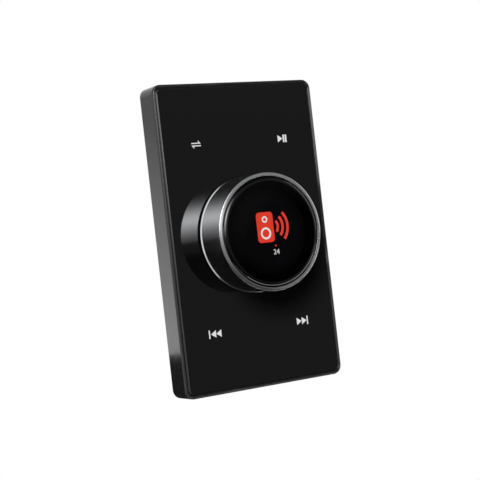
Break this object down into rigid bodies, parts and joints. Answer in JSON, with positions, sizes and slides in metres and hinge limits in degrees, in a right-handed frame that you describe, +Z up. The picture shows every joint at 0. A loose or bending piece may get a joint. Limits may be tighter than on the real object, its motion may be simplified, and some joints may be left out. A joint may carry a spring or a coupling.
{
  "type": "in-wall volume control amplifier",
  "caption": "In-wall amplifier: black glass wall plate with touch keys and a large volume knob whose ring turns round a round screen and presses in, with a vented box behind.",
  "frame": {"origin": "middle of the two mounting slots, on the wall plane", "axes": "+Z up, +Y into the wall, the front faces -Y"},
  "size_m": [0.072, 0.0573, 0.12],
  "materials": {
    "frame_plastic": "satin black",
    "black_glass": "gloss, printed black behind",
    "adhesive": "matt",
    "board_laminate": "solder mask green",
    "chip_resin": "matt black",
    "shield_steel": "tinned",
    "touch_foam": "conductive foam",
    "led_resin": "clear",
    "screw_steel": "zinc plated",
    "connector_plastic": "matt black",
    "plate_steel": "galvanised",
    "box_plastic": "matt black",
    "sink_aluminium": "extruded",
    "capacitor_sleeve": "shrunk sleeve",
    "ferrite": "matt grey",
    "terminal_plastic": "green",
    "hub_plastic": "matt black",
    "clip_steel": "spring steel",
    "bush_acetal": "natural acetal",
    "screen_glass": "dark, lit signs",
    "lens_glass": "polished",
    "ribbon_film": "amber film",
    "ring_chrome": "polished",
    "wheel_film": "black"
  },
  "bodies": {
    "housing": {"front_frame": "frame_plastic", "glass_panel": "black_glass", "glass_tape": "adhesive", "control_board": "board_laminate", "control_chips": "chip_resin", "radio_module": "shield_steel", "touch_rings": "touch_foam", "key_leds": "led_resin", "board_screws": "screw_steel", "press_switches": "connector_plastic", "ribbon_socket": "connector_plastic", "link_header": "connector_plastic", "mounting_plate": "plate_steel", "plate_screws": "screw_steel", "rear_box": "box_plastic", "rear_cover": "box_plastic", "cover_screws": "screw_steel", "amp_board": "board_laminate", "amp_board_screws": "screw_steel", "amp_chip": "chip_resin", "heat_sink": "sink_aluminium", "filter_capacitors": "capacitor_sleeve", "filter_inductors": "ferrite", "link_socket": "connector_plastic", "speaker_terminal": "terminal_plastic", "supply_terminal": "terminal_plastic", "antenna_terminal": "terminal_plastic", "terminal_screws": "screw_steel"},
    "knob_core": {"knob_hub": "hub_plastic", "hub_clip": "clip_steel", "bearing_bush": "bush_acetal", "ring_clip": "clip_steel", "display_module": "screen_glass", "lens_tape": "adhesive", "display_lens": "lens_glass", "display_ribbon": "ribbon_film", "encoder_board": "board_laminate", "encoder_sensor": "chip_resin", "switch_plungers": "led_resin"},
    "knob_ring": {"grip_ring": "ring_chrome", "ring_carrier": "hub_plastic", "code_wheel": "wheel_film"}
  },
  "joints": [
    {"name": "knob_press", "type": "slide", "parent": "housing", "child": "knob_core", "axis": [0, 1, 0], "range_m": [0, 0.00045], "stiffness_N_per_m": 6000, "springref_m": -0.00015},
    {"name": "ring_turn", "type": "hinge", "parent": "knob_core", "child": "knob_ring", "pos_m": [0, -0.016, 0], "axis": [0, 1, 0], "continuous": true}
  ]
}
